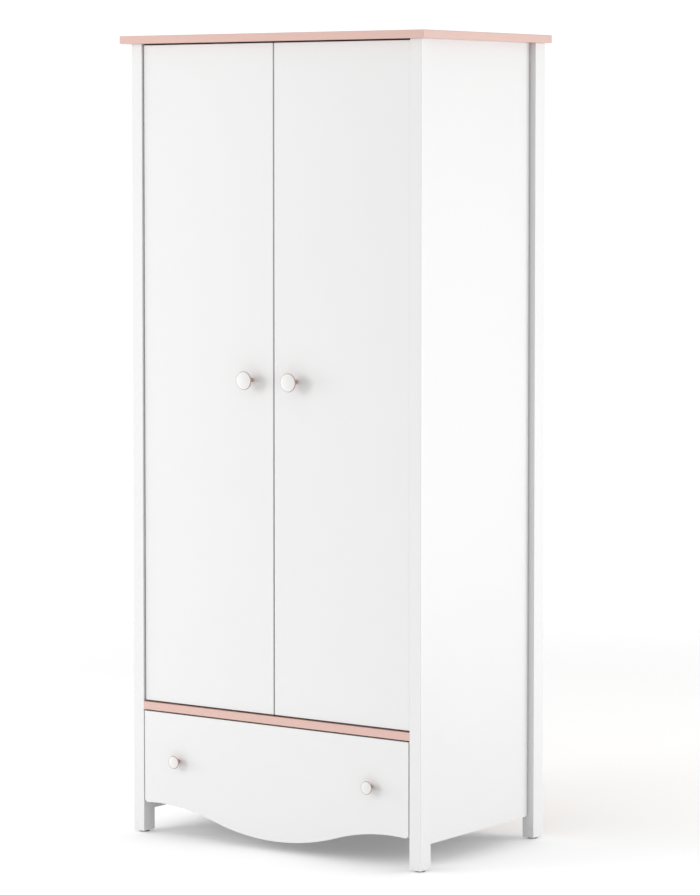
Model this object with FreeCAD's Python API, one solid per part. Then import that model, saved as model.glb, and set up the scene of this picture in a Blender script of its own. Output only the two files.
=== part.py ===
"""Two-door wardrobe with one drawer, on four corner posts.

Millimetres. +Z is up, the front faces -Y, and left and right are as seen from the front. The origin is on
the floor, under the middle of the whole object's box, whose front face is the tips of the door knobs.
Each sub-part is written to parts/NODE.step.
"""

import FreeCAD, Part
import math
import os

V = FreeCAD.Vector

# ---------------------------------------------------------------- driving dimensions
WIDTH = 900.0  # across the top panel
DEPTH = 550.0  # front edge of the top panel to the back
HEIGHT = 1960.0  # floor to the upper face of the top panel

TOP_THICK = 19.0
TOP_SIDE_OVERHANG = 20.0
TOP_FRONT_OVERHANG = 22.0
TOP_EASE = 1.5
BOARD = 16.0  # carcass boards
FRONT_BOARD = 18.0  # doors and drawer front
EDGE_EASE = 1.0  # rounding of the painted edges

POST_WIDE = 32.0  # along X
POST_DEEP = 42.0  # along Y
GLIDE_HIGH = 4.0
GLIDE_RADIUS = 12.0
NAIL_RADIUS = 1.5
NAIL_LONG = 14.0
SIDE_BOTTOM = 57.0  # lower edge of the side panels above the floor
SHADOW_GAP_WIDE = 3.0  # rebate down the outer edges of a side panel, beside the posts
SHADOW_GAP_DEEP = 4.0

RAIL_TOP = 327.0  # upper face of the front rail, and of the compartment floor
RAIL_THICK = 19.0
RAIL_DEEP = 50.0
REAR_RAIL_TALL = 60.0
REAR_RAIL_BOTTOM = SIDE_BOTTOM + 3.0

DOOR_RECESS = 5.0  # door faces behind the front faces of the posts
DOOR_SIDE_GAP = 3.0
DOOR_MEETING_GAP = 4.0
DOOR_TOP_GAP = 3.5
DOOR_RAIL_GAP = 3.8

DOOR_KNOB_RADIUS = 22.5
DOOR_KNOB_OUT = 36.0
DOOR_KNOB_X = 66.0
DOOR_KNOB_Z = 1133.0
DRAWER_KNOB_RADIUS = 16.0
DRAWER_KNOB_OUT = 23.0
DRAWER_KNOB_X = 289.0
DRAWER_KNOB_Z = 189.0

DRAWER_SIDE_GAP = 2.8
DRAWER_RAIL_GAP = 3.8
WAVE_LOW = 25.0  # lowest point of the drawer front's curved edge
WAVE_HIGH = 79.0  # top of the arch at each end of the curve
WAVE_REACH = 345.0  # middle of the front to the top of the arch
WAVE_BOWL_RADIUS = 610.0
FRONT_CORNER_RADIUS = 10.0

BACK_THICK = 3.0
BACK_FROM_REAR = 20.0  # rear face of the thin back, ahead of the posts' rear faces
BACK_GROOVE = 8.0
STRIP_FLANGE = 1.0
STRIP_HALF = 10.0
STRIP_WEB = 1.5

SHELF_BOTTOM = 1640.0
SHELF_SETBACK = 60.0
SHELF_PLAY = 1.0
WALL_HOLE_X = 300.0
WALL_HOLE_RADIUS = 4.0

# ---------------------------------------------------------------- planes that follow from them
POST_TOP = HEIGHT - TOP_THICK
HALF = WIDTH / 2 - TOP_SIDE_OVERHANG  # outer faces of the posts
INNER = HALF - POST_WIDE  # inner faces of posts and side panels
BODY_DEEP = DEPTH - TOP_FRONT_OVERHANG
FRONT = -(BODY_DEEP - (DOOR_KNOB_OUT - DOOR_RECESS)) / 2  # front faces of the front posts
REAR = FRONT + BODY_DEEP
SIDE_FRONT = FRONT + POST_DEEP
SIDE_REAR = REAR - POST_DEEP
BACK_REAR = REAR - BACK_FROM_REAR
BACK_FRONT = BACK_REAR - BACK_THICK
INSIDE_REAR = BACK_FRONT - STRIP_FLANGE  # rear edges of shelf, floor and rails

DOOR_FACE = FRONT + DOOR_RECESS
DOOR_BACK = DOOR_FACE + FRONT_BOARD
DOOR_BOTTOM = RAIL_TOP + DOOR_RAIL_GAP
DOOR_TOP = POST_TOP - DOOR_TOP_GAP
DOOR_OUTER = INNER - DOOR_SIDE_GAP  # |x| of the hinge-side edges
SIDES = {"left": -1, "right": 1}


# ---------------------------------------------------------------- helpers
def block(x0, x1, y0, y1, z0, z1, ease=0.0):
    """A box between two corners, with its edges eased."""
    low = V(min(x0, x1), min(y0, y1), min(z0, z1))
    solid = Part.makeBox(abs(x1 - x0), abs(y1 - y0), abs(z1 - z0), low)
    return solid.makeFillet(ease, solid.Edges) if ease else solid


def rod(radius, start, end):
    """A cylinder from one point to another."""
    start = V(*start)
    span = V(*end) - start
    return Part.makeCylinder(radius, span.Length, start, span)


def runs(solid, axis):
    """The straight edges of a solid that run along "x", "y" or "z"."""
    return [e for e in solid.Edges if abs(getattr(e.tangentAt(e.FirstParameter), axis)) > 0.9]


def turned(edges, x, y, z):
    """A closed outline in the half plane +X, turned about the Y axis and moved to a point."""
    solid = Part.Face(Part.Wire(edges)).revolve(V(0, 0, 0), V(0, 1, 0), 360)
    solid.translate(V(x, y, z))
    return solid


def line(x0, y0, x1, y1):
    return Part.LineSegment(V(x0, y0, 0), V(x1, y1, 0)).toShape()


def arc(x0, y0, x1, y1, x2, y2):
    return Part.Arc(V(x0, y0, 0), V(x1, y1, 0), V(x2, y2, 0)).toShape()


def for_side(drawn_on_left, side):
    """A piece drawn on the left, as it stands on the side named."""
    return drawn_on_left if side == "left" else drawn_on_left.mirror(V(0, 0, 0), V(1, 0, 0))


def aimed(shape, point, way):
    """A piece drawn up the Z axis, with its origin moved to a point and +Z turned to the way given."""
    moved = shape.copy()
    moved.Placement = FreeCAD.Placement(V(*point), FreeCAD.Rotation(V(0, 0, 1), V(*way)))
    return moved


def bored(solid, bores):
    """A solid with every bore that reaches it."""
    reaching = [bore for bore in bores if solid.distToShape(bore)[0] < 1e-6]
    return solid.cut(reaching) if reaching else solid


# ---------------------------------------------------------------- fasteners
CAM_RADIUS = 7.5
CAM_DEEP = 12.5
CAM_FROM_EDGE = 34.0
CAM_SLOT = 4.0
BOLT_RADIUS = 3.0
BOLT_GRIP = 10.0  # bolt's length in the other board


def cross_slot(reach, wide, top, deep):
    """Cutter for a screwdriver's cross in a flat top."""
    bars = [block(-a, a, -b, b, top - deep, top + 1) for a, b in ((reach, wide / 2), (wide / 2, reach))]
    return bars[0].fuse(bars[1])


def screw(under_head, way, radius, length, head_radius, head_high):
    """A pan-head screw, and the bore for its shank. way points out of the surface under its head."""
    shank = rod(radius, (0, 0, -length), (0, 0, 0))
    head = rod(head_radius, (0, 0, 0), (0, 0, head_high))
    rim = [e for e in head.Edges if e.BoundBox.ZMin > head_high / 2]
    head = head.makeFillet(0.45 * head_high, rim)
    slot = cross_slot(0.55 * head_radius, 0.25 * head_radius, head_high, 0.5 * head_high)
    whole = shank.fuse(head).cut(slot)
    return {"solid": aimed(whole, under_head, way), "bore": aimed(shank, under_head, way)}


def cam_joint(edge, bolt_way, face_way):
    """A cam, its bolt and the bores for both.

    edge is the middle of the board's edge where the bolt crosses, bolt_way the unit way into the other
    board, and face_way the unit way out of the board's face that the cam is turned from.
    """
    centre = V(*edge) - V(*bolt_way) * CAM_FROM_EDGE
    mouth = centre + V(*face_way) * (BOARD / 2)
    blank = rod(CAM_RADIUS, (0, 0, -CAM_DEEP), (0, 0, 0))
    slotted = blank.cut(cross_slot(CAM_SLOT, 0.4 * CAM_SLOT, 0.0, 1.5))
    bolt = rod(BOLT_RADIUS, centre, centre + V(*bolt_way) * (CAM_FROM_EDGE + BOLT_GRIP))
    return {"cam": aimed(slotted, mouth, face_way).cut(bolt), "bolt": bolt,
            "bores": [aimed(blank, mouth, face_way), bolt]}


def cam_joints():
    """Every cam joint of the carcass."""
    joints = []
    rail_y = INSIDE_REAR - BOARD / 2
    for s in SIDES.values():
        for y in (FRONT + 110.0, FRONT + 430.0):
            joints.append(cam_joint((s * (INNER + BOARD / 2), y, POST_TOP), (0, 0, 1), (-s, 0, 0)))
            joints.append(cam_joint((s * INNER, y, RAIL_TOP - BOARD / 2), (s, 0, 0), (0, 0, -1)))
        front_z = RAIL_TOP - RAIL_THICK + BOARD / 2
        joints.append(cam_joint((s * INNER, FRONT + RAIL_DEEP / 2, front_z), (s, 0, 0), (0, 0, -1)))
        for low in (POST_TOP - REAR_RAIL_TALL, REAR_RAIL_BOTTOM):
            joints.append(cam_joint((s * INNER, rail_y, low + REAR_RAIL_TALL / 2), (s, 0, 0), (0, -1, 0)))
    return joints


# ---------------------------------------------------------------- concealed hinges
# They are drawn for the left door, from the pin: U is +X, into the door's width, and W is +Y, out of the
# door's back.
HINGES_PER_DOOR = 3
HINGE_NAMES = ["bottom", "middle", "top"]
HINGE_FROM_END = 100.0  # first and last hinge from the door's ends
PIN_FROM_EDGE = 17.5  # hinge pin from the door's hinge-side edge
PIN_FROM_FACE = 10.0  # hinge pin behind the door's front face
PIN_X = DOOR_OUTER - PIN_FROM_EDGE
PIN_Y = DOOR_FACE + PIN_FROM_FACE
PIN_RADIUS = 1.5
PIN_PLAY = 0.05

CUP_RADIUS = 17.5
CUP_DEEP = 12.5
CUP_WALL = 1.0
CUP_FLANGE = 1.2
CUP_U = 4.0  # cup's axis from the pin
CUP_SCREW_U = CUP_U + 6.0
CUP_SCREW_Z = 24.0
DOOR_BACK_W = FRONT_BOARD - PIN_FROM_FACE

PANEL_U = -(PIN_FROM_EDGE + DOOR_SIDE_GAP)  # the side panel's inner face
PLATE_THICK = 2.5
PLATE_W = 55.0
PLATE_HALF_WIDE = 9.0
PLATE_HALF_TALL = 26.0
PLATE_SCREW_Z = 16.0
SPINE_FROM_W = 29.0
SPINE_TO_W = 80.0
SPINE_HALF_TALL = 5.2

ARM_U = PANEL_U + 3.2  # the arm's open side
ARM_DEEP = 12.0
ARM_TOP_U = ARM_U + ARM_DEEP
ARM_WALL = 1.8
ARM_HALF_TALL = 7.0
ARM_TO_W = 82.0
ARM_SCREW_W = (34.0, 70.0)
NECK_RADIUS = 23.5  # the neck turns round the pin at this radius, outside the door's swinging edge
NECK_THICK = 2.2
NECK_HALF_TALL = 5.0
NECK_WAY_DEG = 30.5
EYE_RADIUS = 2.8


def hinge_heights():
    """Heights of the hinges on each door."""
    low = DOOR_BOTTOM + HINGE_FROM_END
    step = (DOOR_TOP - HINGE_FROM_END - low) / (HINGES_PER_DOOR - 1)
    return [low + i * step for i in range(HINGES_PER_DOOR)]


def at_hinge(shape, z):
    """A hinge piece at its height on the left door's pin line."""
    moved = shape.copy()
    moved.translate(V(-PIN_X, PIN_Y, z))
    return moved


def hinge_screws():
    """The screws of one hinge: two in the plate's wings, two in the arm, and two in the cup's flange."""
    plate = [screw((PANEL_U + PLATE_THICK, PLATE_W, z), (1, 0, 0), 1.9, 14.0, 3.6, 1.8)
             for z in (-PLATE_SCREW_Z, PLATE_SCREW_Z)]
    arm = [screw((ARM_TOP_U, w, 0), (1, 0, 0), 2.4, 7.0, 3.2, 1.4) for w in ARM_SCREW_W]
    cup = [screw((CUP_SCREW_U, DOOR_BACK_W + CUP_FLANGE, z), (0, 1, 0), 1.8, 12.0, 3.4, 1.5)
           for z in (-CUP_SCREW_Z, CUP_SCREW_Z)]
    return {"plate": plate, "arm": arm, "cup": cup}


def bores_of(screws):
    return [one["bore"] for one in screws]


def hinge_plate():
    """Winged mounting plate with the spine that the arm's channel sits over."""
    wings = block(PANEL_U, PANEL_U + PLATE_THICK, PLATE_W - PLATE_HALF_WIDE, PLATE_W + PLATE_HALF_WIDE,
                  -PLATE_HALF_TALL, PLATE_HALF_TALL)
    wings = wings.makeFillet(6.0, runs(wings, "x"))
    spine = block(PANEL_U, ARM_TOP_U - ARM_WALL, SPINE_FROM_W, SPINE_TO_W, -SPINE_HALF_TALL, SPINE_HALF_TALL)
    screws = hinge_screws()
    return wings.fuse(spine).removeSplitter().cut(bores_of(screws["plate"] + screws["arm"]))


def hinge_neck():
    """Strip from the pin's eye out of the cup and round, to the front end of the arm."""
    half = NECK_THICK / 2
    foot = V(0, 0, -NECK_HALF_TALL)
    tall = 2 * NECK_HALF_TALL
    up = V(0, 0, 1)
    spoke = block(0, NECK_RADIUS, -half, half, -NECK_HALF_TALL, NECK_HALF_TALL)
    elbow = rod(half, (NECK_RADIUS, 0, -NECK_HALF_TALL), (NECK_RADIUS, 0, NECK_HALF_TALL))
    turn = Part.makeCylinder(NECK_RADIUS + half, tall, foot, up, 90.0 - NECK_WAY_DEG)
    turn = turn.cut(Part.makeCylinder(NECK_RADIUS - half, tall, foot, up))
    neck = spoke.fuse([elbow, turn])
    neck.rotate(V(0, 0, 0), up, NECK_WAY_DEG)
    bridge = block(ARM_TOP_U - ARM_WALL, 0.05, NECK_RADIUS - half, NECK_RADIUS + half,
                   -NECK_HALF_TALL, NECK_HALF_TALL)
    eye = rod(EYE_RADIUS, (0, 0, -NECK_HALF_TALL), (0, 0, NECK_HALF_TALL))
    return neck.fuse([bridge, eye])


def hinge_arm():
    """Channel arm over the plate's spine, with the neck on its front end."""
    start = NECK_RADIUS - NECK_THICK / 2
    body = block(ARM_U, ARM_TOP_U, start, ARM_TO_W, -ARM_HALF_TALL, ARM_HALF_TALL)
    body = body.makeFillet(2.0, [e for e in runs(body, "y") if e.BoundBox.XMin > ARM_U + 1])
    inside = ARM_HALF_TALL - 0.8 * ARM_WALL
    hollow = block(ARM_U - 1, ARM_TOP_U - ARM_WALL, start + 4, ARM_TO_W + 1, -inside, inside)
    pin_bore = rod(PIN_RADIUS + PIN_PLAY, (0, 0, -ARM_HALF_TALL), (0, 0, ARM_HALF_TALL))
    arm = body.cut([hollow] + bores_of(hinge_screws()["arm"]))
    return arm.fuse(hinge_neck()).removeSplitter().cut(pin_bore)


def cup_round(radius, low, high):
    """A round about the cup's axis, between two W planes."""
    return rod(radius, (CUP_U, low, 0), (CUP_U, high, 0))


def hinge_cup():
    """Pot sunk in the door, with a flange on the door's back face."""
    floor = DOOR_BACK_W - CUP_DEEP
    top = DOOR_BACK_W + CUP_FLANGE
    pot = cup_round(CUP_RADIUS, floor, DOOR_BACK_W)
    ring = cup_round(CUP_RADIUS + CUP_WALL, DOOR_BACK_W, top)
    wings = block(CUP_U - 2, CUP_U + 12, DOOR_BACK_W, top, -CUP_SCREW_Z - 6, CUP_SCREW_Z + 6)
    wings = wings.makeFillet(5.0, runs(wings, "y"))
    hollow = cup_round(CUP_RADIUS - CUP_WALL, floor + CUP_WALL, top + 1)
    body = pot.fuse([ring, wings]).removeSplitter()
    return body.cut([hollow, hinge_pin()] + bores_of(hinge_screws()["cup"]))


def hinge_pin():
    """Steel pin across the cup."""
    half = math.sqrt((CUP_RADIUS - CUP_WALL / 2) ** 2 - CUP_U ** 2)
    return rod(PIN_RADIUS, (0, 0, -half), (0, 0, half))


def at_each_hinge(shapes, side):
    """Copies of one hinge's pieces for all the hinges of a door."""
    return [for_side(at_hinge(shape, z), side) for z in hinge_heights() for shape in shapes]


# ---------------------------------------------------------------- knobs
KNOB_SCREW_RADIUS = 2.0
KNOB_FOOT_RADIUS = 5.5
KNOB_WAIST_RADIUS = 4.3
KNOB_RIM = 1.6  # width of the coloured rim round the cap
CAP_SUNK = 2.0


def knob_fronts(radius, out):
    """Distances out from the board of the rim's front, and of the dome's rise over it."""
    rise = 0.11 * radius
    return out - rise, rise


def knob_body(radius, out, x, face_y, z):
    """Flared foot, waist, spreading head and the rim round the cap."""
    rim_out, _ = knob_fronts(radius, out)
    foot = KNOB_FOOT_RADIUS
    waist = KNOB_WAIST_RADIUS
    waist_from = 0.36 * out
    waist_to = 0.55 * out
    head_out = rim_out - 0.16 * radius
    belly = waist_to + 0.62 * (head_out - waist_to)
    seat = rim_out - CAP_SUNK
    cap = radius - KNOB_RIM
    outline = [
        line(0, 0, foot, 0),
        line(foot, 0, foot, -1.5),
        arc(foot, -1.5, 1.04 * waist, -0.6 * waist_from, waist, -waist_from),
        line(waist, -waist_from, waist, -waist_to),
        arc(waist, -waist_to, 0.52 * radius, -belly, radius - 1.2, -head_out),
        arc(radius - 1.2, -head_out, radius, -(head_out + rim_out) / 2, radius - 0.8, -rim_out),
        line(radius - 0.8, -rim_out, cap, -rim_out),
        line(cap, -rim_out, cap, -seat),
        line(cap, -seat, 0, -seat),
        line(0, -seat, 0, 0),
    ]
    bore = rod(KNOB_SCREW_RADIUS, (x, face_y, z), (x, face_y - waist_to, z))
    return turned(outline, x, face_y, z).cut(bore)


def knob_cap(radius, out, x, face_y, z):
    """Domed disc set in the knob's rim."""
    rim_out, rise = knob_fronts(radius, out)
    seat = rim_out - CAP_SUNK
    cap = radius - KNOB_RIM
    dome_radius = (cap ** 2 + rise ** 2) / (2 * rise)
    half_way = math.asin(cap / dome_radius) / 2
    middle_x = dome_radius * math.sin(half_way)
    middle_y = dome_radius * (1 - math.cos(half_way)) - out
    outline = [
        line(cap, -seat, cap, -rim_out),
        arc(cap, -rim_out, middle_x, middle_y, 0, -out),
        line(0, -out, 0, -seat),
        line(0, -seat, cap, -seat),
    ]
    return turned(outline, x, face_y, z)


def knob_screw(out, x, face_y, z):
    """Machine screw from the back of the board into the knob."""
    long = FRONT_BOARD + 0.55 * out
    return screw((x, face_y + FRONT_BOARD, z), (0, 1, 0), KNOB_SCREW_RADIUS, long, 4.0, 2.6)


# ---------------------------------------------------------------- drawer slides
DRAWER_BOX_HALF = 385.0  # outer faces of the drawer box
SLIDE_Z = 150.0
SLIDE_SHEET = 1.2
SLIDE_FROM = FRONT + 22.0
SLIDE_SCREW_Y = (FRONT + 60.0, FRONT + 420.0)


def channel(web_x, lips_x, half_tall, y0, y1):
    """A channel section along Y, with its web at one X plane and its lips reaching another."""
    step = SLIDE_SHEET if lips_x > web_x else -SLIDE_SHEET
    inside = half_tall - SLIDE_SHEET
    solid = block(web_x, lips_x, y0, y1, SLIDE_Z - half_tall, SLIDE_Z + half_tall)
    return solid.cut(block(web_x + step, lips_x + step, y0 - 1, y1 + 1, SLIDE_Z - inside, SLIDE_Z + inside))


def slide_screws(s):
    """Screws of the outer member into the side panel, and of the inner member into the drawer box."""
    panel_x = s * (INNER - SLIDE_SHEET)
    box_x = s * (DRAWER_BOX_HALF + SLIDE_SHEET)
    outer = [screw((panel_x, y, SLIDE_Z), (-s, 0, 0), 1.8, 12.0, 3.4, 0.9) for y in SLIDE_SCREW_Y]
    inner = [screw((box_x, y, SLIDE_Z), (s, 0, 0), 1.8, 10.0, 3.4, 1.4) for y in SLIDE_SCREW_Y]
    return {"outer": outer, "inner": inner}


def slide_outer(s):
    solid = channel(s * INNER, s * (INNER - 9.6), 22.8, SLIDE_FROM, SLIDE_FROM + 450.0)
    return solid.cut(bores_of(slide_screws(s)["outer"]))


def slide_middle(s):
    return channel(s * (INNER - 2.6), s * (INNER - 10.8), 19.4, SLIDE_FROM + 2.0, SLIDE_FROM + 446.0)


def slide_inner(s):
    solid = channel(s * DRAWER_BOX_HALF, s * (INNER - 5.4), 16.0, SLIDE_FROM, SLIDE_FROM + 444.0)
    return solid.cut(bores_of(slide_screws(s)["inner"]))


# ---------------------------------------------------------------- hanging rail
HANGER_Y = FRONT + 275.0
HANGER_Z = 1575.0
HANGER_TALL = 30.0
HANGER_WIDE = 15.0
HANGER_WALL = 1.2
FLANGE_THICK = 3.0
FLANGE_PROUD = 12.0
FLANGE_WALL = 2.5
FLANGE_PLAY = 0.15


def upright_oval(grow, x0, x1):
    """Stadium section round the hanging rail's axis, grown by a margin, between two X planes."""
    half_wide = HANGER_WIDE / 2 + grow
    straight = (HANGER_TALL - HANGER_WIDE) / 2
    low = HANGER_Z - straight
    high = HANGER_Z + straight
    middle = block(x0, x1, HANGER_Y - half_wide, HANGER_Y + half_wide, low, high)
    ends = [rod(half_wide, (x0, HANGER_Y, z), (x1, HANGER_Y, z)) for z in (low, high)]
    return middle.fuse(ends).removeSplitter()


def hanging_rail():
    x = INNER - FLANGE_THICK
    return upright_oval(0, -x, x).cut(upright_oval(-HANGER_WALL, -x - 1, x + 1))


def flange_screws(s):
    return [screw((s * (INNER - FLANGE_THICK), HANGER_Y, z), (-s, 0, 0), 1.9, 14.0, 3.4, 1.8)
            for z in (HANGER_Z - 26, HANGER_Z + 26)]


def rail_flange(s):
    """Cup screwed to the side panel, in which the hanging rail's end sits."""
    inside = s * (INNER - FLANGE_THICK)
    plate = block(s * INNER, inside, HANGER_Y - 12, HANGER_Y + 12, HANGER_Z - 34, HANGER_Z + 34)
    plate = plate.makeFillet(5.0, runs(plate, "x"))
    proud = s * (INNER - FLANGE_PROUD)
    collar = upright_oval(FLANGE_WALL, inside, proud).cut(upright_oval(FLANGE_PLAY, inside, proud))
    return plate.fuse(collar).removeSplitter().cut(bores_of(flange_screws(s)))


# ---------------------------------------------------------------- carcass
SHELF_PIN_RADIUS = 2.5
SHELF_PIN_LONG = 18.0  # half in the side panel and half under the shelf
SHELF_COLLAR_RADIUS = 4.0
SHELF_PIN_Y = (FRONT + 100.0, FRONT + 460.0)
PIN_PITCH = 32.0
PIN_HOLES_EACH_WAY = 3
SHELF_PIN_Z = SHELF_BOTTOM - SHELF_PIN_RADIUS


def top_panel(bores):
    top = block(-WIDTH / 2, WIDTH / 2, FRONT - TOP_FRONT_OVERHANG, REAR, POST_TOP, HEIGHT, TOP_EASE)
    return bored(top, bores)


def post(s, y0, grooved, bores):
    """A corner post, bored for its glide's nail. The rear ones are grooved for the thin back."""
    solid = block(s * INNER, s * HALF, y0, y0 + POST_DEEP, GLIDE_HIGH, POST_TOP, EDGE_EASE)
    if grooved:
        depth = s * (INNER + BACK_GROOVE)
        solid = solid.cut(block(s * INNER, depth, BACK_FRONT, BACK_REAR, SIDE_BOTTOM, POST_TOP))
    return bored(solid, bores)


def glide_places():
    """Middle of each post, as X and Y."""
    return [(s * (INNER + POST_WIDE / 2), y)
            for s in SIDES.values() for y in (FRONT + POST_DEEP / 2, REAR - POST_DEEP / 2)]


def glide_nail(x, y):
    return rod(NAIL_RADIUS, (x, y, GLIDE_HIGH), (x, y, GLIDE_HIGH + NAIL_LONG))


def foot_glide(x, y):
    """Round plastic glide with its nail."""
    disc = rod(GLIDE_RADIUS, (x, y, 0), (x, y, GLIDE_HIGH))
    disc = disc.makeFillet(1.2, [e for e in disc.Edges if e.BoundBox.ZMax < 1e-6])
    return disc.fuse(glide_nail(x, y))


def shelf_pin(s, y):
    """Steel pin with a collar against the side panel, flat where the shelf rests."""
    reach = SHELF_PIN_LONG / 2
    pin = rod(SHELF_PIN_RADIUS, (s * (INNER + reach), y, SHELF_PIN_Z), (s * (INNER - reach), y, SHELF_PIN_Z))
    collar = rod(SHELF_COLLAR_RADIUS, (s * INNER, y, SHELF_PIN_Z), (s * (INNER - 1.2), y, SHELF_PIN_Z))
    above = block(s * INNER, s * (INNER - 2), y - 5, y + 5, SHELF_BOTTOM, SHELF_BOTTOM + 5)
    return pin.fuse(collar).cut(above)


def side_panel(s, bores):
    """Board between two posts, flush with their inner faces, with two columns of shelf pin holes."""
    outer = s * (INNER + BOARD)
    board = block(s * INNER, outer, SIDE_FRONT, SIDE_REAR, SIDE_BOTTOM, POST_TOP)
    for edge, way in ((SIDE_FRONT, 1), (SIDE_REAR, -1)):
        inside = edge + way * SHADOW_GAP_WIDE
        board = board.cut(block(outer, outer - s * SHADOW_GAP_DEEP, edge, inside, SIDE_BOTTOM, POST_TOP))
    deep = s * (INNER + SHELF_PIN_LONG / 2)
    steps = range(-PIN_HOLES_EACH_WAY, PIN_HOLES_EACH_WAY + 1)
    heights = [SHELF_PIN_Z + i * PIN_PITCH for i in steps]
    holes = [rod(SHELF_PIN_RADIUS, (s * INNER, y, z), (deep, y, z)) for y in SHELF_PIN_Y for z in heights]
    return bored(board.cut(holes), bores)


def front_rail(bores):
    rail = block(-INNER, INNER, FRONT, FRONT + RAIL_DEEP, RAIL_TOP - RAIL_THICK, RAIL_TOP)
    return bored(rail, bores)


def compartment_floor(bores):
    return bored(block(-INNER, INNER, FRONT + RAIL_DEEP, INSIDE_REAR, RAIL_TOP - BOARD, RAIL_TOP), bores)


def hat_shelf():
    x = INNER - SHELF_PLAY
    return block(-x, x, FRONT + SHELF_SETBACK, INSIDE_REAR, SHELF_BOTTOM, SHELF_BOTTOM + BOARD)


def wall_holes():
    """Two holes through the rear top rail and the thin back, for screws into a wall."""
    z = POST_TOP - REAR_RAIL_TALL / 2
    return [rod(WALL_HOLE_RADIUS, (x, INSIDE_REAR - BOARD - 1, z), (x, BACK_REAR + 1, z))
            for x in (-WALL_HOLE_X, WALL_HOLE_X)]


def rear_rail(low, bores):
    rail = block(-INNER, INNER, INSIDE_REAR - BOARD, INSIDE_REAR, low, low + REAR_RAIL_TALL)
    return bored(rail, bores)


def back_panel(s):
    """Half of the thin back, in the rear post's groove on one side and in the joint strip on the other."""
    outer = s * (INNER + BACK_GROOVE - 1)
    sheet = block(s * STRIP_WEB / 2, outer, BACK_FRONT, BACK_REAR, REAR_RAIL_BOTTOM, POST_TOP)
    return bored(sheet, wall_holes())


def back_joint_strip():
    """H section that joins the halves of the back."""
    web = block(-STRIP_WEB / 2, STRIP_WEB / 2, BACK_FRONT, BACK_REAR, REAR_RAIL_BOTTOM, POST_TOP)
    flanges = [block(-STRIP_HALF, STRIP_HALF, y, y + STRIP_FLANGE, REAR_RAIL_BOTTOM, POST_TOP)
               for y in (BACK_FRONT - STRIP_FLANGE, BACK_REAR)]
    return web.fuse(flanges).removeSplitter()


# ---------------------------------------------------------------- doors
def door(side, bores):
    """Flat door, bored for its hinge cups and its screws."""
    board = block(-DOOR_OUTER, -DOOR_MEETING_GAP / 2, DOOR_FACE, DOOR_BACK, DOOR_BOTTOM, DOOR_TOP, EDGE_EASE)
    cups = at_each_hinge([cup_round(CUP_RADIUS, DOOR_BACK_W - CUP_DEEP, DOOR_BACK_W)], "left")
    return bored(for_side(board.cut(cups), side), bores)


# ---------------------------------------------------------------- drawer
DRAWER_BOARD = 12.0
DRAWER_LOW = 90.0
DRAWER_HIGH = 230.0
DRAWER_BOX_LONG = 450.0
DRAWER_BOX_FRONT = FRONT + FRONT_BOARD
DRAWER_BOX_REAR = DRAWER_BOX_FRONT + DRAWER_BOX_LONG
BOTTOM_LOW = 100.0
BOTTOM_THICK = 3.0
BOTTOM_GROOVE = 6.0


def half_wave():
    """Lower edge of the drawer front, from its lowest point out to the rounded corner, as arcs in X and Z."""
    rise = WAVE_HIGH - WAVE_LOW
    both = (WAVE_REACH ** 2 + rise ** 2) / (2 * rise)  # sum of the two radii, for a smooth join
    arch_radius = both - WAVE_BOWL_RADIUS
    bowl_z = WAVE_LOW + WAVE_BOWL_RADIUS
    arch_z = WAVE_HIGH - arch_radius
    lean = math.asin(WAVE_REACH / both)

    def on_bowl(angle):
        return V(WAVE_BOWL_RADIUS * math.sin(angle), 0, bowl_z - WAVE_BOWL_RADIUS * math.cos(angle))

    def on_arch(x):
        return V(x, 0, arch_z + math.sqrt(arch_radius ** 2 - (x - WAVE_REACH) ** 2))

    edge_x = INNER - DRAWER_SIDE_GAP
    r = FRONT_CORNER_RADIUS
    end = on_arch(edge_x - r)
    swing = V(edge_x - r * (1 - math.sqrt(0.5)), 0, end.z + r * (1 - math.sqrt(0.5)))
    corner = V(edge_x, 0, end.z + r)
    return [(on_bowl(0), on_bowl(lean / 2), on_bowl(lean)),
            (on_bowl(lean), on_arch(WAVE_REACH), end),
            (end, swing, corner)]


def drawer_front(bores):
    """Front board with a curved lower edge and rounded lower corners."""
    top_z = RAIL_TOP - RAIL_THICK - DRAWER_RAIL_GAP
    right = [Part.Arc(*points).toShape() for points in half_wave()]
    left = [for_side(edge, "right") for edge in right]
    corner = half_wave()[-1][-1]
    top_right = V(corner.x, 0, top_z)
    top_left = V(-corner.x, 0, top_z)
    sides = [Part.LineSegment(corner, top_right).toShape(), Part.LineSegment(top_right, top_left).toShape(),
             Part.LineSegment(top_left, V(-corner.x, 0, corner.z)).toShape()]
    outline = Part.Wire(Part.__sortEdges__(right + left + sides))
    board = Part.Face(outline).extrude(V(0, FRONT_BOARD, 0))
    board = board.makeFillet(EDGE_EASE, [e for e in board.Edges if e.BoundBox.YLength < 1e-6])
    board.translate(V(0, FRONT, 0))
    return bored(board, bores)


def drawer_side(s, bores):
    """Side of the drawer box, grooved for the bottom."""
    inner = s * (DRAWER_BOX_HALF - DRAWER_BOARD)
    board = block(s * DRAWER_BOX_HALF, inner, DRAWER_BOX_FRONT, DRAWER_BOX_REAR, DRAWER_LOW, DRAWER_HIGH)
    groove = block(inner, inner + s * BOTTOM_GROOVE, DRAWER_BOX_FRONT, DRAWER_BOX_REAR,
                   BOTTOM_LOW, BOTTOM_LOW + BOTTOM_THICK)
    return bored(board.cut(groove), bores)


def drawer_back():
    x = DRAWER_BOX_HALF - DRAWER_BOARD
    low = BOTTOM_LOW + BOTTOM_THICK
    return block(-x, x, DRAWER_BOX_REAR - DRAWER_BOARD, DRAWER_BOX_REAR, low, DRAWER_HIGH)


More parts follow.
